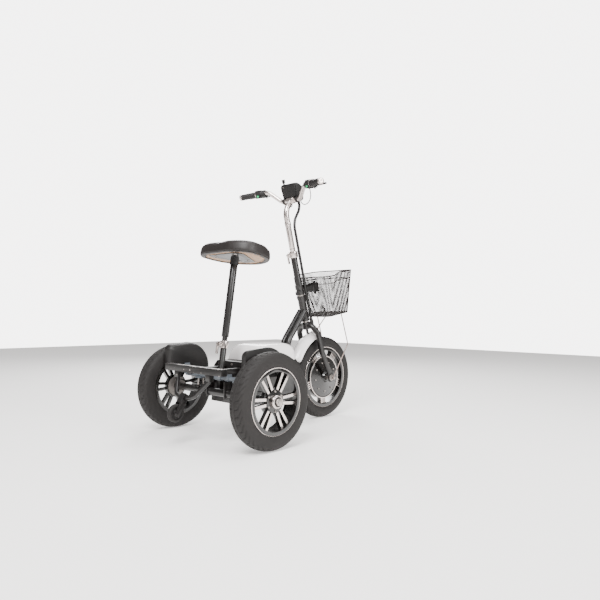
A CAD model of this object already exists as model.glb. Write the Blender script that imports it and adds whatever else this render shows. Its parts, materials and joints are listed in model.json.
"""Looks of a three-wheeled electric mobility scooter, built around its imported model."""

import json
import logging
import math
from dataclasses import dataclass, field
from enum import Enum
from typing import Callable, Sequence

import bpy
import bmesh
from mathutils import Matrix, Vector

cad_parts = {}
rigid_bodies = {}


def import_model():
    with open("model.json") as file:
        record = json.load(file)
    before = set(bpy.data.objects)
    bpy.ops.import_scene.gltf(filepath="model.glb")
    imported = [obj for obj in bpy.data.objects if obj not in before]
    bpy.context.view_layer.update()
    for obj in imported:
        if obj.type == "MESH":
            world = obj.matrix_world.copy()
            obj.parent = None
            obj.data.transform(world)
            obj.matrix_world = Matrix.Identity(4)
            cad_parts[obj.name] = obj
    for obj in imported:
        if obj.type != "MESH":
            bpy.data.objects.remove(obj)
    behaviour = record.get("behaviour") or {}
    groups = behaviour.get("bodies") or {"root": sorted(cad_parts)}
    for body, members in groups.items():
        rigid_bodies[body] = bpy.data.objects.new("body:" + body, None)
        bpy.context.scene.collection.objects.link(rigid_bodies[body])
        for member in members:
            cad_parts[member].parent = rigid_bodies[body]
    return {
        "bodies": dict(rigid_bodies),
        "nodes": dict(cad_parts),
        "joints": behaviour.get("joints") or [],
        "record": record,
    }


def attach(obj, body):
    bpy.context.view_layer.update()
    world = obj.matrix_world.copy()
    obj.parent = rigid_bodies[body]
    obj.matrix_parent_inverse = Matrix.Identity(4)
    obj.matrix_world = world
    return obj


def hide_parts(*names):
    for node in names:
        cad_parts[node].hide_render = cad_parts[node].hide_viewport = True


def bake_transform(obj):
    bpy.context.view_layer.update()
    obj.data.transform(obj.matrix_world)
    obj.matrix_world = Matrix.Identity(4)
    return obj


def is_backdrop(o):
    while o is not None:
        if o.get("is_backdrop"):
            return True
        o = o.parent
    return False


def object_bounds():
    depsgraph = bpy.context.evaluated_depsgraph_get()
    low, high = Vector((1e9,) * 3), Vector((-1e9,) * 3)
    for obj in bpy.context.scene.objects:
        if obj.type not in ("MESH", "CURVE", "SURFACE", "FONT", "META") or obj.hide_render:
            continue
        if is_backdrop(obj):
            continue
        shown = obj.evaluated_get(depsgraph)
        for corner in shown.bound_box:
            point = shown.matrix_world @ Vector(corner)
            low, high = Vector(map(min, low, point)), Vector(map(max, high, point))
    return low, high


log = logging.getLogger("scooter")
MM = 0.001
# Degrees past which an edge is drawn sharp
CREASE = 35.0
# Axles as (x, y, z) in millimetres
FRONT_AXLE = (378.75, 0.0, 217.5)
REAR_AXLE = (-331.25, 0.0, 200.0)
# Colour sockets of a Mix node, which has no names for them that are its own
MIX_A, MIX_B, MIX_OUT = 6, 7, 2
# Wear lies in patches about 70 mm across: noise scale per metre
WEAR_SCALE = 14.0
# How much duller than its finish a worn patch is, and how much brighter a handled one
WEAR_DULL, WEAR_BRIGHT = 0.06, 0.05
COAT_ROUGHNESS = 0.12
STEEL_CHIP = "#cfc6c1"
Point = tuple[float, float, float]
Faces = list[list[int]]
Shape = tuple[list[Point], Faces]


# ---------- node trees and colours ----------


def srgb(code: str) -> tuple[float, float, float, float]:
    """Turns an sRGB hex colour into linear values.

    Args:
        code: Colour as "#rrggbb".

    Returns:
        Linear red, green, blue and an alpha of 1.
    """
    parts = [int(code[i : i + 2], 16) / 255 for i in (1, 3, 5)]
    linear = [p / 12.92 if p <= 0.04045 else ((p + 0.055) / 1.055) ** 2.4 for p in parts]
    return (linear[0], linear[1], linear[2], 1.0)


def add_node(tree: bpy.types.NodeTree, kind: str, values: dict | None = None, **settings) -> bpy.types.Node:
    """Adds one node to a tree, sets it up and links its inputs.

    Args:
        tree: Shader or geometry node tree.
        kind: Node type identifier.
        values: Input name or index to a constant or to an output socket that feeds it.
        **settings: Attributes of the node itself.

    Returns:
        The new node.
    """
    node = tree.nodes.new(kind)
    for name, value in settings.items():
        setattr(node, name, value)
    for key, value in (values or {}).items():
        if isinstance(value, bpy.types.NodeSocket):
            tree.links.new(value, node.inputs[key])
        else:
            node.inputs[key].default_value = value
    return node


class Gloss(Enum):
    """How far a surface is polished, as its roughness."""

    MIRROR = 0.12
    BRIGHT = 0.24
    SATIN = 0.38
    SOFT = 0.52
    DULL = 0.72
    CHALKY = 0.88


@dataclass(frozen=True)
class Finish:
    """A surface with a fine grain that shows in its colour, its polish and its relief.

    Attributes:
        name: Common name of the material and its process.
        colour: Base colour as sRGB hex.
        gloss: Polish of the surface.
        metal: 1 for bare metal, 0 for anything else.
        grain_mm: Size of the grain.
        relief_mm: Height of the grain.
        mottle: Share by which the grain darkens the colour.
        stretch: How much longer the grain runs along each axis.
        coat: Strength of a clear coat.
        slot: Material slot of the record.
    """

    name: str
    colour: str
    gloss: Gloss
    metal: float = 0.0
    grain_mm: float = 1.0
    relief_mm: float = 0.03
    mottle: float = 0.12
    stretch: tuple[float, float, float] = (1.0, 1.0, 1.0)
    coat: float = 0.0
    slot: str = "frame_paint"

    def material(self) -> bpy.types.Material:
        """Returns the material, made once and then shared."""
        found = bpy.data.materials.get(self.name)
        return found or self.build()

    def build(self) -> bpy.types.Material:
        """Makes the shader: one noise in Object coordinates drives colour, polish and relief.

        Returns:
            The finished material.
        """
        material = bpy.data.materials.new(self.name)
        material.use_nodes = True
        tree = material.node_tree
        shader = tree.nodes["Principled BSDF"]
        place = add_node(tree, "ShaderNodeTexCoord")
        turn = add_node(tree, "ShaderNodeMapping", {"Vector": place.outputs["Object"]})
        turn.inputs["Scale"].default_value = [1 / s for s in self.stretch]
        grain = self.pattern(tree, turn.outputs["Vector"])
        wear = add_node(tree, "ShaderNodeTexNoise",
                        {"Vector": place.outputs["Object"], "Scale": WEAR_SCALE, "Detail": 4.0})
        light = srgb(self.colour)
        dark = tuple(c * (1 - self.mottle) for c in light[:3]) + (1.0,)
        blend = add_node(tree, "ShaderNodeMix", {"Factor": grain, MIX_A: light, MIX_B: dark}, data_type="RGBA")
        cloud = add_node(tree, "ShaderNodeMix",
                         {"Factor": wear.outputs["Fac"], MIX_A: blend.outputs[MIX_OUT], MIX_B: dark},
                         data_type="RGBA")
        tree.links.new(cloud.outputs[MIX_OUT], shader.inputs["Base Color"])
        polish = add_node(tree, "ShaderNodeMapRange",
                          {"Value": wear.outputs["Fac"], "To Min": self.gloss.value - WEAR_BRIGHT,
                           "To Max": self.gloss.value + WEAR_DULL})
        tree.links.new(polish.outputs["Result"], shader.inputs["Roughness"])
        bump = add_node(tree, "ShaderNodeBump",
                        {"Height": grain, "Strength": 0.5, "Distance": self.relief_mm * MM})
        tree.links.new(bump.outputs["Normal"], shader.inputs["Normal"])
        shader.inputs["Metallic"].default_value = self.metal
        shader.inputs["Coat Weight"].default_value = self.coat
        shader.inputs["Coat Roughness"].default_value = COAT_ROUGHNESS
        material.diffuse_color = light
        return material

    def pattern(self, tree: bpy.types.NodeTree, place: bpy.types.NodeSocket) -> bpy.types.NodeSocket:
        """Draws the grain.

        Args:
            tree: Shader tree.
            place: Coordinates in metres.

        Returns:
            Socket with the grain from 0 to 1.
        """
        noise = add_node(tree, "ShaderNodeTexNoise",
                         {"Vector": place, "Scale": 1 / (self.grain_mm * MM), "Detail": 3.0, "Roughness": 0.6})
        return noise.outputs["Fac"]


@dataclass(frozen=True)
class Hide(Finish):
    """Embossed vinyl: small closed cells, like pebbled hide."""

    def pattern(self, tree: bpy.types.NodeTree, place: bpy.types.NodeSocket) -> bpy.types.NodeSocket:
        """Draws cells with soft valleys between them.

        Args:
            tree: Shader tree.
            place: Coordinates in metres.

        Returns:
            Socket with the cell height from 0 to 1.
        """
        cells = add_node(tree, "ShaderNodeTexVoronoi", {"Vector": place, "Scale": 1 / (self.grain_mm * MM)})
        return cells.outputs["Distance"]


@dataclass(frozen=True)
class WornPaint(Finish):
    """Powder coat chipped through to bright steel on its upper edges."""

    def build(self) -> bpy.types.Material:
        """Lays bright metal into the paint where a coarse noise peaks on faces that point up.

        Returns:
            The finished material.
        """
        material = Finish.build(self)
        tree = material.node_tree
        shader = tree.nodes["Principled BSDF"]
        place = add_node(tree, "ShaderNodeTexCoord")
        specks = add_node(tree, "ShaderNodeTexNoise",
                          {"Vector": place.outputs["Object"], "Scale": 55.0, "Detail": 6.0, "Roughness": 0.7})
        facing = add_node(tree, "ShaderNodeNewGeometry")
        split = add_node(tree, "ShaderNodeSeparateXYZ", {"Vector": facing.outputs["Normal"]})
        upward = add_node(tree, "ShaderNodeMapRange",
                          {"Value": split.outputs["Z"], "From Min": -0.3, "From Max": 0.9, "To Min": 0.0,
                           "To Max": 0.1})
        total = add_node(tree, "ShaderNodeMath", {0: specks.outputs["Fac"], 1: upward.outputs["Result"]},
                         operation="ADD")
        chip = add_node(tree, "ShaderNodeMapRange",
                        {"Value": total.outputs[0], "From Min": 0.655, "From Max": 0.675})
        old = shader.inputs["Base Color"].links[0].from_socket
        mix = add_node(tree, "ShaderNodeMix",
                       {"Factor": chip.outputs["Result"], MIX_A: old, MIX_B: srgb(STEEL_CHIP)}, data_type="RGBA")
        tree.links.new(mix.outputs[MIX_OUT], shader.inputs["Base Color"])
        tree.links.new(chip.outputs["Result"], shader.inputs["Metallic"])
        return material


# Powder-coated steel: a warm near-black with a fine orange peel that softens every highlight
FRAME_BLACK = Finish("powder_coated_steel", "#0e0a09", Gloss.SATIN, grain_mm=0.9, relief_mm=0.04, coat=0.25)
BEAM_BLACK = WornPaint("chipped_powder_coated_steel", "#0e0a09", Gloss.SATIN, grain_mm=0.9, relief_mm=0.04, coat=0.2)
# Painted tube in blue grey, duller than the frame
TUBE_GREY = Finish("painted_grey_tube", "#5a6067", Gloss.SATIN, grain_mm=1.2, mottle=0.2, slot="grey_tube")
# Clear-anodised aluminium: pinkish white, broad highlights
ALLOY = Finish("anodised_aluminium", "#e2d7d2", Gloss.BRIGHT, 1.0, grain_mm=0.5, relief_mm=0.01, mottle=0.08,
               stretch=(1, 1, 9), slot="silver_alloy")
# Spoke faces and rim lips turned on a lathe after painting: bright with fine rings
TURNED_ALLOY = Finish("lathe_turned_aluminium", "#efe5e0", Gloss.BRIGHT, 1.0, grain_mm=0.6, relief_mm=0.02,
                      mottle=0.14, slot="silver_alloy")
# Zinc-plated bolts and axle: greyer than the alloy
ZINC = Finish("zinc_plated_steel", "#c4bdb8", Gloss.SATIN, 1.0, grain_mm=0.7, mottle=0.2, slot="zinc_steel")
# Yellow-passivated nut: copper-coloured
COPPER_NUT = Finish("yellow_zinc_nut", "#b9743f", Gloss.SATIN, 1.0, grain_mm=0.8, mottle=0.3, slot="zinc_steel")
CAST_ALLOY = Finish("sand_cast_aluminium", "#8f8a86", Gloss.SOFT, 1.0, grain_mm=1.4, relief_mm=0.1, mottle=0.2,
                    slot="cast_shoe")
LINING = Finish("brake_lining", "#6b5a4c", Gloss.CHALKY, grain_mm=1.6, relief_mm=0.1, mottle=0.4, slot="lining")
# Cast wheel under gloss enamel: deep black with clear reflections
WHEEL_BLACK = Finish("gloss_enamelled_alloy", "#0b0807", Gloss.BRIGHT, grain_mm=1.2, relief_mm=0.02, coat=0.6,
                     slot="wheel_black")
# Moulded ABS, fine spark-eroded texture
BLACK_ABS = Finish("moulded_black_abs", "#0f0c0b", Gloss.SOFT, grain_mm=0.8, relief_mm=0.06, slot="black_plastic")
WHITE_ABS = Finish("moulded_white_abs", "#f4f0ef", Gloss.BRIGHT, grain_mm=3.0, relief_mm=0.01, mottle=0.02, coat=0.4,
                   slot="white_plastic")
# Vulcanised tread rubber: dusty, brown in the light
TYRE_RUBBER = Finish("vulcanised_tyre_rubber", "#120d0b", Gloss.DULL, grain_mm=1.5, relief_mm=0.12, mottle=0.3,
                     slot="tyre")
GRIP_RUBBER = Finish("moulded_grip_rubber", "#120e0d", Gloss.SOFT, grain_mm=1.0, relief_mm=0.1, slot="rubber")
CABLE_PVC = Finish("extruded_pvc", "#0b0908", Gloss.SATIN, grain_mm=1.5, relief_mm=0.03, slot="rubber")
WIRE_PAINT = Finish("dipped_steel_wire", "#1a110e", Gloss.SATIN, grain_mm=1.0, relief_mm=0.02, slot="wire")
STAY_STEEL = Finish("drawn_steel_rod", "#8a7b75", Gloss.SATIN, 0.6, grain_mm=0.8, slot="zinc_steel")
# Rotary-cut plywood: long grain across the seat, tan
PLYWOOD = Finish("rotary_cut_plywood", "#bb9472", Gloss.SOFT, grain_mm=2.2, relief_mm=0.08, mottle=0.35,
                 stretch=(1, 14, 1), slot="plywood")
# Pebbled vinyl: cells about a millimetre across, drawn at 1.6 mm so that they show
SEAT_VINYL = Hide("embossed_vinyl", "#1a1412", Gloss.SOFT, grain_mm=1.6, relief_mm=0.12, mottle=0.25, slot="vinyl")
BATTERY_WRAP = Finish("heat_shrink_wrap", "#32506a", Gloss.SATIN, grain_mm=2.0, slot="battery_case")
GREEN_CAP = Finish("moulded_green_button", "#18c777", Gloss.BRIGHT, grain_mm=1.0, mottle=0.05, slot="button_green")
LENS = Finish("moulded_clear_lens", "#d8dde0", Gloss.MIRROR, grain_mm=2.5, relief_mm=0.05, coat=0.8,
              slot="black_plastic")


# ---------- shapes in millimetres ----------


def lathe(profile: Sequence[tuple[float, float]], segments: int = 96, closed: bool = False,
          depth: Callable[[float, float, float], float] | None = None) -> Shape:
    """Turns a profile round the Y axis.

    Args:
        profile: Points as (radius, y), in order.
        segments: Number of steps round the axis.
        closed: Whether the last point joins the first.
        depth: Cut below the surface as a function of angle, radius and y.

    Returns:
        Vertices and faces.
    """
    verts: list[Point] = []
    count = len(profile)
    for i in range(segments):
        angle = 2 * math.pi * i / segments
        for radius, y in profile:
            r = radius - (depth(angle, radius, y) if depth else 0.0)
            verts.append((r * math.cos(angle), y, r * math.sin(angle)))
    faces: Faces = []
    for i in range(segments):
        a, b = i * count, (i + 1) % segments * count
        for k in range(count if closed else count - 1):
            n = (k + 1) % count
            faces.append([a + k, a + n, b + n, b + k])
    return verts, faces


def unit(v: Vector) -> Vector:
    """Returns v at length 1."""
    return v / v.length


def rounded(points: Sequence[Point], radius: float, steps: int = 8) -> list[Vector]:
    """Rounds the inner corners of a path.

    Args:
        points: Corners of the path.
        radius: Radius of each bend.
        steps: Points along each bend.

    Returns:
        The path with its bends.
    """
    p = [Vector(q) for q in points]
    path = [p[0]]
    for a, b, c in zip(p, p[1:], p[2:]):
        u, v = unit(b - a), unit(c - b)
        turn = u.angle(v, 0.0)
        if turn < 0.02:
            path.append(b)
            continue
        middle = unit(v - u.dot(v) * u)
        centre = b - u * radius * math.tan(turn / 2) + middle * radius
        for i in range(steps + 1):
            w = turn * i / steps
            path.append(centre - middle * radius * math.cos(w) + u * radius * math.sin(w))
    path.append(p[-1])
    return path


def smooth(points: Sequence[Point], steps: int = 6) -> list[Vector]:
    """Draws a soft curve through all the points.

    Args:
        points: Points to pass through.
        steps: Steps between neighbours.

    Returns:
        The curve's points.
    """
    p = [Vector(q) for q in points]
    p = [2 * p[0] - p[1]] + p + [2 * p[-1] - p[-2]]
    path = []
    for a, b, c, d in zip(p, p[1:], p[2:], p[3:]):
        for i in range(steps):
            t = i / steps
            path.append(0.5 * (2 * b + (c - a) * t + (2 * a - 5 * b + 4 * c - d) * t * t
                               + (3 * b - a - 3 * c + d) * t ** 3))
    return path + [p[-2]]


def circle(centre: Vector, side: Vector, up: Vector, radius: float, sides: int) -> list[Point]:
    """Draws a circle.

    Args:
        centre: Its centre.
        side: Direction of its first point.
        up: Direction a quarter turn on.
        radius: Radius.
        sides: Number of points.

    Returns:
        The points in order.
    """
    return [tuple(centre + radius * (math.cos(a) * side + math.sin(a) * up))
            for a in (2 * math.pi * k / sides for k in range(sides))]


def tube(path: Sequence[Vector], radius: float, sides: int = 24) -> Shape:
    """Sweeps a round bar along a path without twisting it.

    Args:
        path: Points of the centreline.
        radius: Radius of the bar.
        sides: Corners of its section.

    Returns:
        Vertices and faces, with both ends closed.
    """
    rings = []
    side = None
    for i, point in enumerate(path):
        along = unit(path[min(i + 1, len(path) - 1)] - path[max(i - 1, 0)])
        if side is None:
            side = along.orthogonal()
        side = unit(side - side.dot(along) * along)
        rings.append(circle(point, side, along.cross(side), radius, sides))
    return loft(rings)


def loft(rings: Sequence[Sequence[Point]], closed: bool = False) -> Shape:
    """Skins rings that have the same number of points.

    Args:
        rings: Rings in order, each a closed loop.
        closed: Whether the last ring joins the first; otherwise both ends get a face.

    Returns:
        Vertices and faces.
    """
    n = len(rings[0])
    verts = [tuple(v) for ring in rings for v in ring]
    faces: Faces = []
    for i in range(len(rings) if closed else len(rings) - 1):
        a, b = i * n, (i + 1) % len(rings) * n
        faces += [[a + k, a + (k + 1) % n, b + (k + 1) % n, b + k] for k in range(n)]
    if not closed:
        faces.append(list(range(n))[::-1])
        faces.append([(len(rings) - 1) * n + k for k in range(n)])
    return verts, faces


def block(low: Point, high: Point) -> Shape:
    """Returns a box from its low corner to its high corner."""
    ring = [(low[0], low[1]), (high[0], low[1]), (high[0], high[1]), (low[0], high[1])]
    return loft([[(x, y, z) for x, y in ring] for z in (low[2], high[2])])


def joined(*shapes: Shape) -> Shape:
    """Returns several shapes as one."""
    verts: list[Point] = []
    faces: Faces = []
    for v, f in shapes:
        faces += [[i + len(verts) for i in face] for face in f]
        verts += list(v)
    return verts, faces


def mirrored(shape: Shape) -> Shape:
    """Returns the shape's image across Y = 0, its faces turned the right way."""
    verts, faces = shape
    return [(x, -y, z) for x, y, z in verts], [face[::-1] for face in faces]


def shifted(shape: Shape, by: Point) -> Shape:
    """Returns the shape moved by a vector."""
    return [(x + by[0], y + by[1], z + by[2]) for x, y, z in shape[0]], shape[1]


def raised(shape: Shape) -> Shape:
    """Returns the shape with its Y axis turned up to Z."""
    return [(x, -z, y) for x, y, z in shape[0]], shape[1]


def laid(shape: Shape) -> Shape:
    """Returns the shape with its Z axis laid down to Y."""
    return [(x, z, -y) for x, y, z in shape[0]], shape[1]


def in_metres(shape: Shape) -> Shape:
    """Returns a shape in metres instead of millimetres."""
    return [(x * MM, y * MM, z * MM) for x, y, z in shape[0]], shape[1]


def both_sides(shape: Shape) -> Shape:
    """Returns the shape and its mirror image."""
    return joined(shape, mirrored(shape))


def rounded_box(x0: float, x1: float, half: float, radius: float, per_corner: int = 8,
                per_side: int = 1) -> list[tuple[float, float]]:
    """Draws a rectangle with round corners, symmetric about Y = 0.

    Args:
        x0: Rear edge.
        x1: Front edge.
        half: Half of the width.
        radius: Corner radius.
        per_corner: Steps in each corner.
        per_side: Steps along each straight side.

    Returns:
        Points of the outline, anticlockwise.
    """
    corners = [(x1 - radius, half - radius, 0), (x0 + radius, half - radius, 90),
               (x0 + radius, radius - half, 180), (x1 - radius, radius - half, 270)]
    points = []
    for i, (cx, cy, start) in enumerate(corners):
        turns = [math.radians(start + 90 * k / per_corner) for k in range(per_corner + 1)]
        arc = [(cx + radius * math.cos(a), cy + radius * math.sin(a)) for a in turns]
        points += arc
        nx, ny, turn = corners[(i + 1) % 4]
        end = (nx + radius * math.cos(math.radians(turn)), ny + radius * math.sin(math.radians(turn)))
        points += [(arc[-1][0] + (end[0] - arc[-1][0]) * k / per_side,
                    arc[-1][1] + (end[1] - arc[-1][1]) * k / per_side) for k in range(1, per_side)]
    return points


# ---------- objects ----------


def make(name: str, shape: Shape, frame: Matrix, finish: Finish, bevel: float = 0.0,
         crease: float = CREASE) -> bpy.types.Object:
    """Makes a finished object whose place is in its mesh.

    Args:
        name: Object name.
        shape: Vertices and faces in the local frame, in millimetres.
        frame: Local frame, in metres.
        finish: Finish of the whole piece.
        bevel: Width of the bevel on sharp edges, in millimetres.
        crease: Angle in degrees past which an edge stays sharp.

    Returns:
        The object.
    """
    mesh = bpy.data.meshes.new(name)
    mesh.from_pydata([frame @ (Vector(v) * MM) for v in shape[0]], [], shape[1])
    return finished(name, mesh, finish, bevel, crease)


def finished(name: str, mesh: bpy.types.Mesh, finish: Finish, bevel: float = 0.0,
             crease: float = CREASE) -> bpy.types.Object:
    """Merges doubles, turns faces outwards, bevels and shades a mesh, and links its object.

    Args:
        name: Object name.
        mesh: Mesh with its place in its vertices.
        finish: Finish of the whole piece.
        bevel: Width of the bevel on sharp edges, in millimetres.
        crease: Angle in degrees past which an edge stays sharp.

    Returns:
        The object.
    """
    work = bmesh.new()
    work.from_mesh(mesh)
    bmesh.ops.remove_doubles(work, verts=work.verts, dist=0.02 * MM)
    bmesh.ops.recalc_face_normals(work, faces=work.faces)
    if bevel:
        sharp = [e for e in work.edges
                 if len(e.link_faces) == 2 and e.calc_face_angle(0) > math.radians(crease)]
        bmesh.ops.bevel(work, geom=sharp, offset=bevel * MM, segments=2, profile=0.6, affect="EDGES",
                        clamp_overlap=True)
    work.to_mesh(mesh)
    work.free()
    mesh.materials.clear()
    mesh.materials.append(finish.material())
    mesh.shade_smooth()
    mesh.set_sharp_from_angle(angle=math.radians(crease))
    obj = bpy.data.objects.new(name, mesh)
    bpy.context.scene.collection.objects.link(obj)
    return obj


def baked(obj: bpy.types.Object) -> bpy.types.Object:
    """Turns an object's evaluated geometry into a plain mesh and removes its modifiers.

    Args:
        obj: Object with live modifiers.

    Returns:
        The same object, now plain.
    """
    depsgraph = bpy.context.evaluated_depsgraph_get()
    mesh = bpy.data.meshes.new_from_object(obj.evaluated_get(depsgraph))
    obj.modifiers.clear()
    obj.data = mesh
    return obj


class Tree:
    """A Geometry Nodes tree with named inputs, used once and baked."""

    def __init__(self, name: str) -> None:
        """Starts an empty tree with a geometry input and output.

        Args:
            name: Name of the tree.
        """
        self.tree = bpy.data.node_groups.new(name, "GeometryNodeTree")
        self.socket("Geometry", "NodeSocketGeometry")
        self.tree.interface.new_socket("Geometry", in_out="OUTPUT", socket_type="NodeSocketGeometry")
        self.inputs = add_node(self.tree, "NodeGroupInput")
        self.output = add_node(self.tree, "NodeGroupOutput")

    def socket(self, name: str, kind: str) -> None:
        """Adds a named input.

        Args:
            name: Input name.
            kind: Socket type.
        """
        self.tree.interface.new_socket(name, in_out="INPUT", socket_type=kind)

    def close(self, geometry: bpy.types.NodeSocket) -> None:
        """Ends the tree in Realize Instances and Set Material.

        Args:
            geometry: Socket with the geometry to finish.
        """
        real = add_node(self.tree, "GeometryNodeRealizeInstances", {"Geometry": geometry})
        dress = add_node(self.tree, "GeometryNodeSetMaterial",
                         {"Geometry": real.outputs["Geometry"], "Material": self.inputs.outputs["Material"]})
        self.tree.links.new(dress.outputs["Geometry"], self.output.inputs["Geometry"])

    def apply(self, obj: bpy.types.Object, finish: Finish, **values) -> bpy.types.Object:
        """Runs the tree on an object and keeps the result as its mesh.

        Args:
            obj: Object whose mesh feeds the tree.
            finish: Finish given to the result.
            **values: Input names, with underscores for spaces, and their values.

        Returns:
            The object with a plain mesh.
        """
        modifier = obj.modifiers.new("grow", "NODES")
        modifier.node_group = self.tree
        wanted = {key.replace("_", " "): value for key, value in values.items()}
        wanted["Material"] = finish.material()
        for item in self.tree.interface.items_tree:
            if item.in_out == "INPUT" and item.name in wanted:
                modifier[item.identifier] = wanted[item.name]
        obj.update_tag()
        bpy.context.view_layer.update()
        baked(obj)
        obj.data.shade_smooth()
        obj.data.set_sharp_from_angle(angle=math.radians(CREASE))
        return obj


class Ring(Tree):
    """Copies of one piece, evenly spaced round the Y axis."""

    def __init__(self) -> None:
        """Builds the tree: points, a turn for each, one instance on each."""
        super().__init__("ring_of_pieces")
        self.socket("Count", "NodeSocketInt")
        self.socket("First Angle", "NodeSocketFloat")
        self.socket("Material", "NodeSocketMaterial")
        tree, given = self.tree, self.inputs.outputs
        points = add_node(tree, "GeometryNodePoints", {"Count": given["Count"]})
        index = add_node(tree, "GeometryNodeInputIndex")
        share = add_node(tree, "ShaderNodeMath", {0: index.outputs[0], 1: given["Count"]}, operation="DIVIDE")
        turn = add_node(tree, "ShaderNodeMath", {0: share.outputs[0], 1: 2 * math.pi, 2: given["First Angle"]},
                        operation="MULTIPLY_ADD")
        euler = add_node(tree, "ShaderNodeCombineXYZ", {"Y": turn.outputs[0]})
        placed = add_node(tree, "GeometryNodeInstanceOnPoints",
                          {"Points": points.outputs[0], "Instance": given["Geometry"],
                           "Rotation": euler.outputs[0]})
        self.close(placed.outputs[0])


class Wires(Tree):
    """Round wire along every edge of a mesh."""

    def __init__(self) -> None:
        """Builds the tree: edges become curves, and a small circle follows them."""
        super().__init__("wires_on_edges")
        self.socket("Radius", "NodeSocketFloat")
        self.socket("Sides", "NodeSocketInt")
        self.socket("Material", "NodeSocketMaterial")
        tree, given = self.tree, self.inputs.outputs
        curve = add_node(tree, "GeometryNodeMeshToCurve", {"Mesh": given["Geometry"]})
        round_wire = add_node(tree, "GeometryNodeCurvePrimitiveCircle",
                              {"Resolution": given["Sides"], "Radius": given["Radius"]})
        swept = add_node(tree, "GeometryNodeCurveToMesh",
                         {"Curve": curve.outputs[0], "Profile Curve": round_wire.outputs[0], "Fill Caps": True})
        self.close(swept.outputs[0])


class Scatter(Tree):
    """One small piece on each vertex of a mesh, turned at random about Z if asked."""

    def __init__(self) -> None:
        """Builds the tree: an instance on each vertex, turned by a seeded random angle."""
        super().__init__("piece_on_points")
        self.socket("Piece", "NodeSocketObject")
        self.socket("Turn", "NodeSocketVector")
        self.socket("Spread", "NodeSocketFloat")
        self.socket("Material", "NodeSocketMaterial")
        tree, given = self.tree, self.inputs.outputs
        piece = add_node(tree, "GeometryNodeObjectInfo", {"Object": given["Piece"]})
        chance = add_node(tree, "FunctionNodeRandomValue", {"Seed": 7}, data_type="FLOAT")
        spin = add_node(tree, "ShaderNodeMath", {0: chance.outputs[1], 1: given["Spread"]}, operation="MULTIPLY")
        about = add_node(tree, "ShaderNodeCombineXYZ", {"Z": spin.outputs[0]})
        total = add_node(tree, "ShaderNodeVectorMath", {0: about.outputs[0], 1: given["Turn"]}, operation="ADD")
        placed = add_node(tree, "GeometryNodeInstanceOnPoints",
                          {"Points": given["Geometry"], "Instance": piece.outputs["Geometry"],
                           "Rotation": total.outputs[0]})
        self.close(placed.outputs[0])


def moved(obj: bpy.types.Object, frame: Matrix) -> bpy.types.Object:
    """Puts a local mesh in millimetres where its frame says.

    Args:
        obj: Object whose mesh is in local millimetres.
        frame: Local frame, in metres.

    Returns:
        The object.
    """
    obj.data.transform(frame @ Matrix.Scale(MM, 4))
    return obj


def linked(name: str, verts: list[Point], edges: list[tuple[int, int]], faces: Faces) -> bpy.types.Object:
    """Links a bare object.

    Args:
        name: Object name.
        verts: Its vertices.
        edges: Its loose edges.
        faces: Its faces.

    Returns:
        The object.
    """
    mesh = bpy.data.meshes.new(name)
    mesh.from_pydata([Vector(v) for v in verts], edges, faces)
    obj = bpy.data.objects.new(name, mesh)
    bpy.context.scene.collection.objects.link(obj)
    return obj


def plain(name: str, shape: Shape) -> bpy.types.Object:
    """Links a bare object in local millimetres, as food for a node tree."""
    return linked(name, shape[0], [], shape[1])


def stamp(name: str, shape: Shape) -> bpy.types.Object:
    """Links a small piece for a node tree to copy, kept out of the render.

    Args:
        name: Object name.
        shape: Vertices and faces in millimetres.

    Returns:
        The hidden object, in metres.
    """
    obj = plain(name, in_metres(shape))
    obj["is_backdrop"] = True
    obj.hide_render = True
    return obj


def strings(name: str, chains: Sequence[Sequence[Point]], closed: bool = False) -> bpy.types.Object:
    """Links an object of edge chains in local millimetres.

    Args:
        name: Object name.
        chains: Points of each chain.
        closed: Whether each chain ends where it starts.

    Returns:
        The object.
    """
    verts: list[Point] = []
    edges = []
    for chain in chains:
        first = len(verts)
        verts += [tuple(p) for p in chain]
        edges += [(first + i, first + i + 1) for i in range(len(chain) - 1)]
        if closed:
            edges.append((len(verts) - 1, first))
    return linked(name, verts, edges, [])


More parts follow.
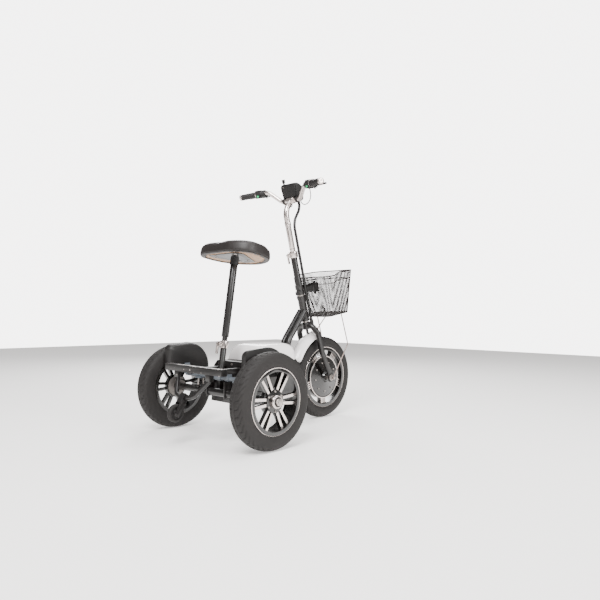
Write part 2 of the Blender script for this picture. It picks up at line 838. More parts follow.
class Scooter:
    """Local frames and CAD nodes that every sub-assembly shares."""

    def __init__(self, loaded: dict) -> None:
        """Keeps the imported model's nodes and its two leaning frames.
        """
        self.nodes = loaded["nodes"]
        self.steer = self.leaning((332.609, 0.0, 204.269), -16.0)
        self.mast = self.leaning((-326.25, 0.0, 266.0), 8.0)

    def leaning(self, place: Point, angle: float) -> Matrix:
        """Returns the frame at a place, turned about Y by an angle in degrees."""
        return Matrix.Translation(Vector(place) * MM) @ Matrix.Rotation(math.radians(angle), 4, "Y")

    def dress(self, node: str, finish: Finish) -> None:
        """Gives a CAD node its finish and leaves its shape alone.

        Args:
            node: Name of the node.
            finish: Its finish.
        """
        mesh = self.nodes[node].data
        mesh.materials.clear()
        mesh.materials.append(finish.material())

    def soften(self, node: str, body: str, finish: Finish, bevel: float,
               crease: float = CREASE) -> bpy.types.Object:
        """Replaces a CAD node by a copy with bevelled edges.

        Args:
            node: Name of the node.
            body: Body that it rides on.
            finish: Its finish.
            bevel: Width of the bevel in millimetres.
            crease: Angle past which an edge counts as sharp.

        Returns:
            The bevelled piece.
        """
        mesh = self.nodes[node].data.copy()
        work = bmesh.new()
        work.from_mesh(mesh)
        bmesh.ops.remove_doubles(work, verts=work.verts, dist=0.01 * MM)
        bmesh.ops.dissolve_limit(work, angle_limit=math.radians(1), verts=work.verts, edges=work.edges)
        work.to_mesh(mesh)
        work.free()
        piece = finished(node + "_shown", mesh, finish, bevel, crease)
        return self.show(piece, body, node)

    def show(self, piece: bpy.types.Object, body: str, *nodes: str) -> bpy.types.Object:
        """Lets a piece ride on a body and stand for CAD nodes.

        Args:
            piece: Finished object.
            body: Body that it rides on.
            *nodes: CAD nodes that it stands for.

        Returns:
            The piece.
        """
        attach(piece, body)
        if nodes:
            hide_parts(*nodes)
        log.info("%s rides on %s", piece.name, body)
        return piece


def on_side(frame: Matrix, side: int) -> Matrix:
    """Returns the frame, mirrored across Y = 0 when side is -1."""
    return (Matrix.Scale(-1, 4, (0, 1, 0)) if side < 0 else Matrix.Identity(4)) @ frame


def turned(profile: Sequence[tuple[float, float]], segments: int = 64) -> Shape:
    """Turns a profile of (radius, z) round the Z axis."""
    return raised(lathe(profile, segments))


def rod(axis_points: tuple[Point, Point], radius: float, bevel: float = 0.6, sides: int = 40) -> Shape:
    """Makes a straight round bar with chamfered ends.

    Args:
        axis_points: The two ends of its axis.
        radius: Radius.
        bevel: Chamfer at each end.
        sides: Corners of its section.

    Returns:
        Vertices and faces.
    """
    a, b = Vector(axis_points[0]), Vector(axis_points[1])
    along = unit(b - a)
    side = along.orthogonal().normalized()
    ends = ((a, radius - bevel), (a + along * bevel, radius), (b - along * bevel, radius), (b, radius - bevel))
    return loft([circle(point, side, along.cross(side), r, sides) for point, r in ends])


def screw_head(radius: float, height: float) -> Shape:
    """Makes a domed screw head with a round recess, standing on Z = 0.

    Args:
        radius: Radius of the head.
        height: Height of the head.

    Returns:
        Vertices and faces.
    """
    rings = []
    for r, z in ((1.0, 0.0), (1.0, 0.45), (0.86, 0.8), (0.6, 1.0), (0.5, 1.0), (0.5, 0.35)):
        rings.append([(radius * r * math.cos(a), radius * r * math.sin(a), height * z)
                      for a in (2 * math.pi * k / 12 for k in range(12))])
    return loft(rings)


@dataclass
class Tyre:
    """Tubeless tyre with a directional tread of waved V grooves.

    Attributes:
        radius: Outer radius.
        width: Width across the walls.
        seat: Radius where it sits on the rim.
        rim_width: Outer width of the rim.
        blocks: Number of grooves round the tyre.
        groove: Depth of the grooves.
    """

    radius: float
    width: float
    seat: float
    rim_width: float
    blocks: int
    groove: float = 3.4

    def half(self) -> list[Point]:
        """Returns the corners of the section from bead to crown."""
        w, r, s, b = self.width / 2, self.radius, self.seat, self.rim_width / 2
        return [(s + 1, b - 5.5, 0), (s + 7, b - 4.6, 0), (s + 11, b - 1.5, 0), (s + (r - s) * 0.32, w - 1.2, 0),
                (s + (r - s) * 0.52, w - 0.2, 0), (r - 19, w - 2.0, 0), (r - 12, w - 5.0, 0), (r - 6, w - 11, 0),
                (r - 2.2, w * 0.45, 0), (r - 0.3, w * 0.2, 0), (r, 0, 0)]

    def carve(self, angle: float, radius: float, y: float) -> float:
        """Returns how deep the tread is cut at a point.

        Args:
            angle: Angle round the axis.
            radius: Radius there.
            y: Distance from the middle plane.

        Returns:
            Depth in millimetres.
        """
        share = abs(y) / (self.width / 2)
        wall = min(1.0, max(0.0, (radius - (self.radius - 17)) / 5))
        sweep = 1.7 * share + 0.22 * math.sin(share * 8)
        phase = (self.blocks * angle / (2 * math.pi) + sweep) % 1
        gap = abs(phase - 0.5) * 2
        cut = min(1.0, max(0.0, (gap - 0.74) / 0.12)) if share > 0.1 else 0.0
        rib = min(1.0, max(0.0, 1 - abs(abs(y) - self.width * 0.1) / 1.3)) * 0.7
        return self.groove * wall * max(cut, rib if share < 0.4 else 0.0)

    def shape(self) -> Shape:
        """Returns the whole tyre round the Y axis."""
        side = [(p.x, p.y) for p in smooth(self.half(), 4)]
        back = [(x, -y) for x, y in side[:-1]][::-1]
        hidden = [(self.seat + 1, 0.0)]
        return lathe(side + back + hidden, self.blocks * 14, True, self.carve)


@dataclass
class RearWheel:
    """Cast rear wheel on one side: tyre, rim, six double spokes, drum and cap.

    Attributes:
        side: 1 on the left and -1 on the right.
        tyre: Its tyre.
        centre: Centre of the left wheel.
        spokes: Number of double spokes.
        lip_radius: Outer radius of the bright lip.
    """

    side: int
    tyre: Tyre
    centre: Point = (REAR_AXLE[0], 332.0, REAR_AXLE[2])
    spokes: int = 6
    lip_radius: float = 136.5

    def frame(self) -> Matrix:
        """Returns the frame whose Y points outboard."""
        return on_side(Matrix.Translation(Vector(self.centre) * MM), self.side)

    def face(self, near: float, far: float, width: float) -> Shape:
        """Makes the turned front of one spoke.

        Args:
            near: Offset from the wheel's radius at the hub.
            far: Offset at the rim.
            width: Width of the spoke.

        Returns:
            Vertices and faces.
        """
        h = width / 2
        ring = [(47, near - h + 1), (119, far - h + 1), (123.6, far - h - 3), (123.6, far + h + 3),
                (119, far + h - 1), (47, near + h - 1)]
        low = [(x, 22.6, z) for x, z in ring]
        high = [(x, 23.9, z) for x, z in ring]
        return loft([low, high])

    def build(self, scooter: Scooter) -> None:
        """Makes and places every piece of the wheel.

        Args:
            scooter: Frames and CAD nodes.
        """
        tag = "left" if self.side > 0 else "right"
        body = tag + "_rear_wheel"
        frame = self.frame()
        scooter.show(make("rear_tread_" + tag, self.tyre.shape(), frame, TYRE_RUBBER, crease=50), body,
                     "rear_tyre_" + tag)
        scooter.soften("rear_rim_" + tag, body, WHEEL_BLACK, 0.9)
        scooter.soften("hub_cap_" + tag, body, ALLOY, 0.7)
        pair = joined(self.face(11, 17, 13), self.face(-11, -17, 13))
        faces = Ring().apply(plain("spoke_faces_" + tag, pair), TURNED_ALLOY, Count=self.spokes, First_Angle=0.0)
        scooter.show(moved(faces, frame), body)
        lip = lathe([(self.lip_radius - 2.5, 33.4), (self.lip_radius - 1.8, 36.7), (self.lip_radius, 37.2),
                     (self.lip_radius + 0.8, 36.4), (self.lip_radius + 0.5, 33.0)], 120, True)
        scooter.show(make("rim_lip_" + tag, lip, frame, TURNED_ALLOY), body)
        stud = shifted(laid(screw_head(4.2, 4.5)), (40, 25.6, 0))
        screws = Ring().apply(plain("hub_screws_" + tag, stud), ZINC, Count=6, First_Angle=math.pi / 6)
        scooter.show(moved(screws, frame), body)
        ring = lathe([(14, 43.8), (20, 44.4), (21, 44.4), (21.5, 43.8)], 60, True)
        scooter.show(make("cap_ring_" + tag, ring, frame, BLACK_ABS), body)


@dataclass
class FrontWheel:
    """Hub-motor wheel: tyre, rim with bars in five groups, motor and its screws.

    Attributes:
        tyre: Its tyre.
        centre: Centre of the wheel.
        groups: Number of groups of bars.
        motor_radius: Radius of the motor.
        seat: Radius of the bead seat.
    """

    tyre: Tyre
    centre: Point = FRONT_AXLE
    groups: int = 5
    motor_radius: float = 109.0
    seat: float = 152.0

    def sector(self) -> Shape:
        """Makes the black web behind one group of bars."""
        rings = []
        for r, half in ((self.motor_radius + 3, 24.0), (128.0, 22.5), (self.seat - 8.5, 25.5)):
            rings.append([(r, -9, -half), (r, 9, -half), (r, 9, half), (r, -9, half)])
        return loft(rings)

    def bars(self) -> Shape:
        """Makes one group of turned bars, standing proud of the web on both sides."""
        pieces = []
        for step in (-1.5, -0.5, 0.5, 1.5):
            z = 11 * step
            for y0, y1 in ((-15.0, -9.5), (9.5, 15.0)):
                pieces.append(block((self.motor_radius + 5.5, y0, z - 2.7), (self.seat - 8, y1, z + 2.7)))
        return joined(*pieces)

    def build(self, scooter: Scooter) -> None:
        """Makes and places every piece of the wheel.

        Args:
            scooter: Frames and CAD nodes.
        """
        body = "front_wheel"
        frame = Matrix.Translation(Vector(self.centre) * MM)
        first = math.radians(18)
        scooter.show(make("front_tread", self.tyre.shape(), frame, TYRE_RUBBER, crease=50), body, "front_tyre")
        scooter.soften("front_rim", body, WHEEL_BLACK, 0.7)
        scooter.soften("motor_shell", body, WHEEL_BLACK, 2.0, 20)
        web = Ring().apply(plain("wheel_webs", self.sector()), WHEEL_BLACK, Count=self.groups, First_Angle=first)
        scooter.show(moved(web, frame), body)
        bars = Ring().apply(plain("wheel_bars", self.bars()), TURNED_ALLOY, Count=self.groups, First_Angle=first)
        scooter.show(moved(bars, frame), body)
        for side, tag in ((1, "left"), (-1, "right")):
            at = on_side(frame, side)
            lip = lathe([(self.seat + 7.2, 22.0), (self.seat + 7.6, 25.3), (self.seat + 9.8, 25.8),
                         (self.seat + 10.3, 25), (self.seat + 10, 21.6)], 120, True)
            scooter.show(make("front_lip_" + tag, lip, at, TURNED_ALLOY), body)
            rim = lathe([(109.6, 16), (109.6, 19.2), (112, 20.1), (115.2, 19.4), (115.4, 16)], 120, True)
            scooter.show(make("motor_ring_" + tag, rim, at, TURNED_ALLOY), body)
            head = shifted(laid(screw_head(4.0, 4.0)), (79, 24.8, 0))
            screws = Ring().apply(plain("motor_screws_" + tag, head), ZINC, Count=9, First_Angle=0.2)
            scooter.show(moved(screws, at), body)
        scooter.soften("front_axle", "steering", ZINC, 0.6)
        corners = [(13.6 * math.cos(a), 13.6 * math.sin(a))
                   for a in (math.radians(60 * k + 30) for k in range(6))]
        nut = loft([[(x * s, y, z * s) for x, z in corners] for y, s in ((72.2, 1.0), (82.6, 1.0), (84.4, 0.88))])
        scooter.show(make("copper_nut", nut, frame, COPPER_NUT, 0.5), "steering")


@dataclass
class Fork:
    """Fork, its crown and dropouts, the fender and the brackets' rods.

    Attributes:
        offset: Distance of the wheel's axle ahead of the steering axis.
        leg_y: Distance of each leg from the middle.
        leg_radius: Radius of each leg.
        arch: Height of the arch along the steering axis.
        fender_crown: Outer radius of the fender about the front axle.
    """

    offset: float = 48.0
    leg_y: float = 66.0
    leg_radius: float = 15.0
    arch: float = 300.0
    fender_crown: float = 261.5

    def legs(self) -> Shape:
        """Makes the fork as one bent tube on each side, with its crown and stem tube."""
        y = self.leg_y
        path = rounded([(self.offset - 6, y, 30), (14, y, 150), (8, y, self.arch - 40), (4, y - 26, self.arch - 2),
                        (0, 16, self.arch + 4), (0, 0, self.arch + 4)], 34, 12)
        outline = rounded([(28, -14, 0), (36, -22, 0), (60, -22, 0), (68, -14, 0), (66, 16, 0), (54, 48, 0),
                           (26, 48, 0), (28, 10, 0), (28, -6, 0)], 3, 3)
        plate = loft([[(p.x, y - 3.2, p.y) for p in outline], [(p.x, y + 3.2, p.y) for p in outline]])
        side = both_sides(joined(tube(path, self.leg_radius, 36), plate))
        crown = turned([(0, 285), (20, 285), (23, 288), (23, 319), (20.5, 322), (14.3, 322), (14.3, 568), (0, 568)])
        gland = turned([(0, 300), (9.5, 300), (9.5, 327), (8.5, 330.2), (0, 330.2)], 40)
        gland = shifted(gland, (27, -19, 0))
        peg = turned([(0, 258.8), (7, 258.8), (7, 300), (0, 300)], 32)
        return joined(side, crown, gland, peg, block((0, -26, 300), (27, -12, 321)))

    def fender(self) -> Shape:
        """Makes the fender: one thick section swept over the tyre, narrower at its two ends."""
        c, wall = self.fender_crown, 3.2
        half = smooth([(c - 31, 42, 0), (c - 23.5, 40, 0), (c - 15.5, 33, 0), (c - 8.5, 24, 0), (c - 2.5, 12, 0),
                       (c, 0, 0)], 4)
        rings = []
        steps = 44
        for i in range(steps + 1):
            ease = min(1.0, (0.5 - abs(i / steps - 0.5)) * 9)
            trim = 1 - 0.3 * (1 - math.sqrt(max(0.0, ease * (2 - ease))))
            outer = [(p.x, p.y * trim) for p in half]
            outer += [(x, -y) for x, y in outer[:-1]][::-1]
            inner = [(x - wall, y * 0.93) for x, y in outer][::-1]
            section = outer + inner
            a = math.radians(100 + 57 * i / steps)
            rings.append([(x * math.cos(a), y, x * math.sin(a)) for x, y in section])
        return loft(rings)

    def build(self, scooter: Scooter) -> None:
        """Makes and places every piece of the fork.

        Args:
            scooter: Frames and CAD nodes.
        """
        steer = scooter.steer
        scooter.show(make("fork_shown", self.legs(), steer, FRAME_BLACK, 0.6), "steering", "fork")
        wheel = Matrix.Translation(Vector(FRONT_AXLE) * MM)
        scooter.show(make("fender_shown", self.fender(), wheel, WHITE_ABS, 0.8, 50), "steering", "front_fender")
        scooter.soften("head_tube", "chassis", FRAME_BLACK, 1.0)
        scooter.soften("stem_lower", "steering", FRAME_BLACK, 0.8)
        scooter.soften("stem_clamp", "steering", ALLOY, 0.9)
        scooter.soften("stem_clamp_lever", "stem_cam", ALLOY, 0.9)
        ring = turned([(14.2, 714.4), (15.2, 714.4), (15.4, 715.4), (15.2, 716.8), (14.2, 716.8)])
        scooter.show(make("height_ring", ring, steer, BLACK_ABS), "handlebars")
        screw = dressed(plain("clamp_screw_head", raised(screw_head(5, 3))), ZINC)
        scooter.show(moved(screw, steer @ Matrix.Translation(Vector((-29.5, -13, 686)) * MM)), "stem_cam")


def dressed(obj: bpy.types.Object, finish: Finish) -> bpy.types.Object:
    """Gives a bare object one finish and smooth faces with sharp edges.

    Args:
        obj: Object to dress.
        finish: Its finish.

    Returns:
        The same object.
    """
    obj.data.materials.append(finish.material())
    obj.data.shade_smooth()
    obj.data.set_sharp_from_angle(angle=math.radians(CREASE))
    return obj


@dataclass
class Handlebar:
    """Upper stem, bent bar, grips, housings, levers, console and its cables.

    Attributes:
        bar_s: Height of the bar along the steering axis.
        bar_x: Distance of the bar ahead of the steering axis.
        half: Distance of the left grip's end from the middle.
        back: Place of the grip's end along the steering frame's X.
        lift: Height of the grips above the bar's middle.
        turn: Angle of each grip about the steering axis, in degrees.
    """

    bar_s: float = 958.0
    bar_x: float = 55.0
    half: float = 275.0
    back: float = -23.0
    lift: float = 62.0
    turn: float = 20.7

    def grip_frame(self, scooter: Scooter, side: int) -> Matrix:
        """Returns the frame at one grip's outer end, its Y along the grip and outwards.

        Args:
            scooter: Frames of the model.
            side: 1 on the left and -1 on the right.

        Returns:
            The frame in metres.
        """
        place = Matrix.Translation(Vector((self.back, self.half, self.bar_s + self.lift)) * MM)
        return on_side(scooter.steer @ place @ Matrix.Rotation(math.radians(self.turn), 4, "Z"), side)

    def grip_point(self, t: float) -> Point:
        """Returns a point of the left grip's axis in the steering frame."""
        a = math.radians(self.turn)
        return (self.back - t * math.sin(a), self.half + t * math.cos(a), self.bar_s + self.lift)

    def bar(self) -> Shape:
        """Makes the whole bar as one bent tube."""
        left = [(self.bar_x, 0, self.bar_s), (self.bar_x, 62, self.bar_s), self.grip_point(-158),
                self.grip_point(0.5)]
        path = rounded(left, 36, 10)
        right = [Vector((p.x, -p.y, p.z)) for p in path[1:]][::-1]
        return tube(right + path, 11.1, 36)

    def stem(self) -> Shape:
        """Makes the upper stem with its bend, collar and head clamp."""
        bend = rounded([(0, 0, 588), (0, 0, 915), (self.bar_x, 0, self.bar_s)], 78, 20)
        collar = turned([(14.3, 832), (15.6, 833), (16.1, 834.5), (16.1, 853.5), (15.6, 855), (14.3, 856)])
        head = rod(((self.bar_x, -22, self.bar_s), (self.bar_x, 22, self.bar_s)), 17.1, 1.2, 48)
        return joined(tube(bend, 14.5, 40), collar, head)

    def grip(self) -> Shape:
        """Makes a ribbed grip with a flange at its inner end."""
        profile = [(11.3, 0.2), (14.5, -0.2), (16.0, -1.6), (16.0, -4.5)]
        for i in range(15):
            y = -6 - 4.7 * i
            profile += [(16.0, y), (15.1, y - 0.9), (15.1, y - 2.3), (16.0, y - 3.2)]
        profile += [(16.0, -79.5), (16.0, -83), (15, -83.9), (11.3, -83.9)]

        def flutes(angle: float, radius: float, y: float) -> float:
            """Returns the depth of the flutes along the grip."""
            wave = 0.5 + 0.5 * math.cos(angle * 30)
            return 0.5 * wave if radius > 15.5 and -78 < y < -5 else 0.0

        return lathe(profile, 120, True, flutes)

    def build(self, scooter: Scooter) -> None:
        """Makes and places every piece of the bar.

        Args:
            scooter: Frames and CAD nodes.
        """
        steer = scooter.steer
        scooter.show(make("stem_shown", self.stem(), steer, ALLOY, 0.4), "handlebars", "stem_upper")
        scooter.show(make("bar_shown", self.bar(), steer, ALLOY), "handlebars", "handlebar")
        rows = [[(16.1 * math.cos(a), 16.1 * math.sin(a), s) for a in (2 * math.pi * k / 10 for k in range(10))]
                for s in (836.5, 851.5)]
        dots = moved(strings("collar_dots", rows), steer)
        bead = stamp("bead", screw_head(1.3, 0.6))
        scooter.show(Scatter().apply(dots, BLACK_ABS, Piece=bead, Turn=(0, 0, 0), Spread=0.0), "handlebars")
        scooter.soften("console", "handlebars", BLACK_ABS, 2.2, 25)
        scooter.soften("lever_housings", "handlebars", BLACK_ABS, 2.0)
        scooter.soften("key", "ignition_key", BLACK_ABS, 0.5)
        self.front_of_console(scooter)
        for side, tag in ((1, "left"), (-1, "right")):
            self.one_side(scooter, side, tag)
        self.cables(scooter)

    def front_of_console(self, scooter: Scooter) -> None:
        """Adds the lamp's lens and bezel in front and the key's ring on top.

        Args:
            scooter: Frames and CAD nodes.
        """
        at = scooter.steer @ Matrix.Translation(Vector((86, 8, 982)) * MM)
        outline = rounded_box(-14, 20, 36, 12)

        def stack(levels: Sequence[tuple[float, float]]) -> list[list[Point]]:
            """Returns the lamp's outline at each (x, scale)."""
            return [[(x, b * s, -12 + (a - 4) * s) for a, b in outline] for x, s in levels]

        lens = loft(stack([(21, 1.0), (30.6, 1.0), (31.6, 0.9), (32.2, 0.6)]))
        scooter.show(make("lamp_lens", lens, at, LENS, 0.0), "handlebars")
        bezel = loft(stack([(21, 1.12), (31.2, 1.12), (31.9, 1.06), (31.2, 1.0), (21, 1.0)]), True)
        scooter.show(make("lamp_bezel", bezel, at, BLACK_ABS), "handlebars")
        ring = turned([(7.4, 47.4), (11.5, 47.6), (12, 48.4), (9, 49.6), (7.4, 49.4)], 48)
        scooter.show(make("key_ring", shifted(ring, (-19, 32, 0)), at, ALLOY), "handlebars")

    def one_side(self, scooter: Scooter, side: int, tag: str) -> None:
        """Makes a grip, its ring and end cap, a lever and a button.

        Args:
            scooter: Frames and CAD nodes.
            side: 1 on the left and -1 on the right.
            tag: Name of the side.
        """
        at = self.grip_frame(scooter, side)
        node = "grip_left" if side > 0 else "throttle_grip"
        body = "handlebars" if side > 0 else "throttle"
        scooter.show(make("grip_ribs_" + tag, self.grip(), at, GRIP_RUBBER, crease=50), body, node)
        cap = lathe([(0.0, 8.6), (4.2, 8.6), (4.6, 11.0), (12.5, 11.3), (15.4, 9.6), (15.6, 1.2), (15, 0.35),
                     (0.0, 0.35)], 64)
        scooter.show(make("end_cap_" + tag, cap, at, ALLOY, 0.3), "handlebars")
        ring = lathe([(16.2, -88.4), (17.4, -88.1), (17.6, -87.6), (17.6, -85.2), (17.2, -84.6),
                      (16.2, -84.5)], 80, True)
        scooter.show(make("twist_ring_" + tag, ring, at, TURNED_ALLOY), "handlebars")
        scooter.soften("brake_lever_" + tag, tag + "_lever", BLACK_ABS, 1.8)
        scooter.soften("light_button" if side > 0 else "horn_button", tag + "_button", GREEN_CAP, 0.8)
        seam = loft([[(x, y, z) for z, x in rounded_box(-17, 16, 15, 6)] for y in (-114.9, -113.0)])
        scooter.show(make("pod_seam_" + tag, seam, at, GRIP_RUBBER, 0.6), "handlebars")
        lamp = rod(((-10, -101, 19.9), (-10, -101, 21.2)), 3.4, 0.4, 24)
        plate = block((-14, -108, 19.9), (-4, -94, 20.5))
        scooter.show(make("pod_light_" + tag, lamp, at, GREEN_CAP), "handlebars")
        scooter.show(make("pod_plate_" + tag, plate, at, GRIP_RUBBER, 0.3), "handlebars")

    def cables(self, scooter: Scooter) -> None:
        """Makes the loom, which stretches with the bar's height, and the two cables to the housings.

        Args:
            scooter: Frames and CAD nodes.
        """
        loom = [(96, -14, 949), (96, -14, 930), (92, -14, 916), (80, -15, 898), (61, -16, 880), (42, -17, 861),
                (30, -18, 837), (25, -19, 813)]
        loom += [(25, -19, s) for s in range(780, 480, -40)]
        loom += [(26, -19, 460), (27, -19, 420), (27, -19, 380), (27, -19, 330.4)]
        ribs = smooth(loom, 10)
        piece = make("loom_shown", tube(ribs, 7.3, 24), scooter.steer, CABLE_PVC)
        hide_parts("cable_harness")
        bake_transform(piece)
        wires = [(42.6, 148.5, 1009.6), (52, 140, 1002), (70, 126, 984), (88, 108, 962), (98, 88, 942),
                 (101, 68, 930), (100, 52, 926), (98, 41, 929), (95, 34, 937), (94, 31, 947.7)]
        shape = both_sides(tube(smooth(wires, 8), 2.5, 16))
        scooter.show(make("bar_cables_shown", shape, scooter.steer, CABLE_PVC), "handlebars", "bar_cables")


@dataclass
class Basket:
    """Wire-mesh basket with its rim, band, bracket and stays.

    Attributes:
        length: Length of the mouth.
        width: Width of the mouth.
        height: Height of the front wall.
        dip: How much lower the rear wall is.
        uprights: Number of upright wires.
        hoops: Number of level wires.
        pitch: Spacing of the floor's wires.
        drawn: Outlines drawn so far, by level and inset.
    """

    length: float = 213.0
    width: float = 280.0
    height: float = 230.0
    dip: float = 14.0
    uprights: int = 150
    hoops: int = 34
    pitch: float = 7.0
    drawn: dict[tuple[float, float], list[tuple[float, float]]] = field(default_factory=dict)

    def frame(self, scooter: Scooter) -> Matrix:
        """Returns the basket's own frame, leaning six degrees from the steering axis."""
        foot = Matrix.Translation(Vector((70, 0, 330.3)) * MM)
        return scooter.steer @ foot @ Matrix.Rotation(math.radians(6), 4, "Y")

    def outline(self, level: float, inset: float = 1.5) -> list[tuple[float, float]]:
        """Draws the basket at one level, with evenly spaced points.

        Args:
            level: 0 at the floor and 1 at the front rim.
            inset: Distance inside the wall's face.

        Returns:
            Points (x, y), as many at every level.
        """
        front = self.length * (0.84 + 0.16 * level) - inset
        half = self.width / 2 * (0.78 + 0.22 * level) - inset
        corner = 30 + 8 * level - inset
        loop = [Vector(p) for p in rounded_box(inset, front, half, corner, 12)]
        loop.append(loop[0])
        walk = [0.0]
        for a, b in zip(loop, loop[1:]):
            walk.append(walk[-1] + (b - a).length)
        points, k = [], 0
        for i in range(self.uprights):
            goal = walk[-1] * i / self.uprights
            while walk[k + 1] < goal:
                k += 1
            p = loop[k].lerp(loop[k + 1], (goal - walk[k]) / max(1e-9, walk[k + 1] - walk[k]))
            points.append((p.x, p.y))
        return points

    def top(self, x: float) -> float:
        """Returns the height of the rim above the floor at x."""
        t = min(1.0, max(0.0, (x - 34) / 52))
        return self.height - 1.6 - self.dip * (1 - t * t * (3 - 2 * t))

    def ring(self, share: float, inset: float = 1.5) -> list[Point]:
        """Returns a hoop at a share of the rim's height."""
        points = []
        rim = self.outline(1.0, inset)
        for i, (x, _) in enumerate(rim):
            z = 2 + (self.top(x) - 2) * share
            px, py = self.outline_at(z / self.height, inset)[i]
            points.append((px, py, z))
        return points

    def outline_at(self, level: float, inset: float) -> list[tuple[float, float]]:
        """Returns the outline at a level, kept once it has been drawn."""
        key = (round(level, 3), inset)
        if key not in self.drawn:
            self.drawn[key] = self.outline(*key)
        return self.drawn[key]

    def mesh_chains(self) -> tuple[list[list[Point]], list[list[Point]]]:
        """Returns the closed hoops and the open wires of walls and floor."""
        hoops = [self.ring((k + 0.5) / self.hoops) for k in range(self.hoops)]
        open_wires = [[hoop[i] for hoop in [self.ring(0.0)] + hoops[::3] + [self.ring(1.0)]]
                      for i in range(self.uprights)]
        floor = self.outline_at(0.0, 1.5)
        x0, x1 = min(p[0] for p in floor), max(p[0] for p in floor)
        half = max(p[1] for p in floor)
        corner = 28.5

        def reach(x: float) -> float:
            """Returns half of the floor's width at x."""
            over = max(0.0, x0 + corner - x, x - x1 + corner)
            return half - corner + math.sqrt(max(0.0, corner ** 2 - over ** 2))

        x = x0 + 4
        while x < x1 - 2:
            open_wires.append([(x, -reach(x), 2.2), (x, reach(x), 2.2)])
            x += self.pitch
        y = -half + 4
        while y < half - 2:
            over = max(0.0, abs(y) - half + corner)
            cut = corner - math.sqrt(max(0.0, corner ** 2 - over ** 2))
            open_wires.append([(x0 + cut, y, 2.2), (x1 - cut, y, 2.2)])
            y += self.pitch
        return hoops, open_wires

    def build(self, scooter: Scooter) -> None:
        """Makes and places the basket.

        Args:
            scooter: Frames and CAD nodes.
        """
        at = self.frame(scooter)
        hoops, open_wires = self.mesh_chains()
        level = Wires().apply(strings("mesh_hoops", hoops, True), WIRE_PAINT, Radius=1.0, Sides=5)
        scooter.show(moved(level, at), "steering", "basket")
        upright = Wires().apply(strings("mesh_uprights", open_wires), WIRE_PAINT, Radius=1.0, Sides=5)
        scooter.show(moved(upright, at), "steering")
        thick = [(1.0, 2.6, "rim"), (0.82, 1.7, "band"), (0.0, 2.0, "foot")]
        for share, radius, tag in thick:
            loop = self.ring(share, 1.6 if share else 2.4)
            wire = Wires().apply(strings("wire_" + tag, [loop], True), WIRE_PAINT, Radius=radius, Sides=14)
            scooter.show(moved(wire, at), "steering")
        scooter.soften("basket_bracket", "steering", FRAME_BLACK, 1.0)
        shield = loft([[(-5.6 - d, y * s, 163 + z * s) for z, y in rounded_box(-19, 19, 48, 5)]
                       for d, s in ((0, 1.0), (1.4, 1.0), (2.0, 0.98))])
        scooter.show(make("blank_shield", shield, at, BLACK_ABS), "steering")
        self.stays(scooter, at)

    def stays(self, scooter: Scooter, at: Matrix) -> None:
        """Makes the two pairs of rods that carry the basket.

        Args:
            scooter: Frames and CAD nodes.
            at: The basket's own frame.
        """
        back = scooter.steer.inverted() @ at
        low, high = (128.5, 87.5, -2.2), (39.0, 50.0, -2.2)
        tip = [tuple((back @ (Vector(p) * MM)) / MM) for p in (low, high)]
        front = tube(rounded([(52, 85.5, 7.6), (208, 89.5, 140), tip[0]], 26, 12), 3, 18)
        rear = tube([Vector((27, 53, 281.4)), Vector(tip[1])], 3, 18)
        eye = lathe([(7.1, 82.6), (10, 82.6), (10, 88.4), (7.1, 88.4)], 40, True)
        boss = turned([(0, 276), (3.4, 276.8), (5, 279.5), (5, 283), (3.4, 285.6), (0, 286.4)], 24)
        rods = joined(front, rear, shifted(eye, (48, 0, 0)), shifted(boss, (26.3, 53, 0)))
        scooter.show(make("stays_shown", both_sides(rods), scooter.steer, STAY_STEEL, 0.3), "steering",
                     "basket_stays")
        pad = turned([(0, -2.8), (6.4, -2.8), (7, -2.4), (7, -0.7), (6.4, -0.3), (0, -0.3)], 32)
        pads = joined(*[shifted(pad, (p[0], p[1], 0)) for p in (low, high)])
        scooter.show(make("stay_pads", both_sides(pads), at, STAY_STEEL), "steering")


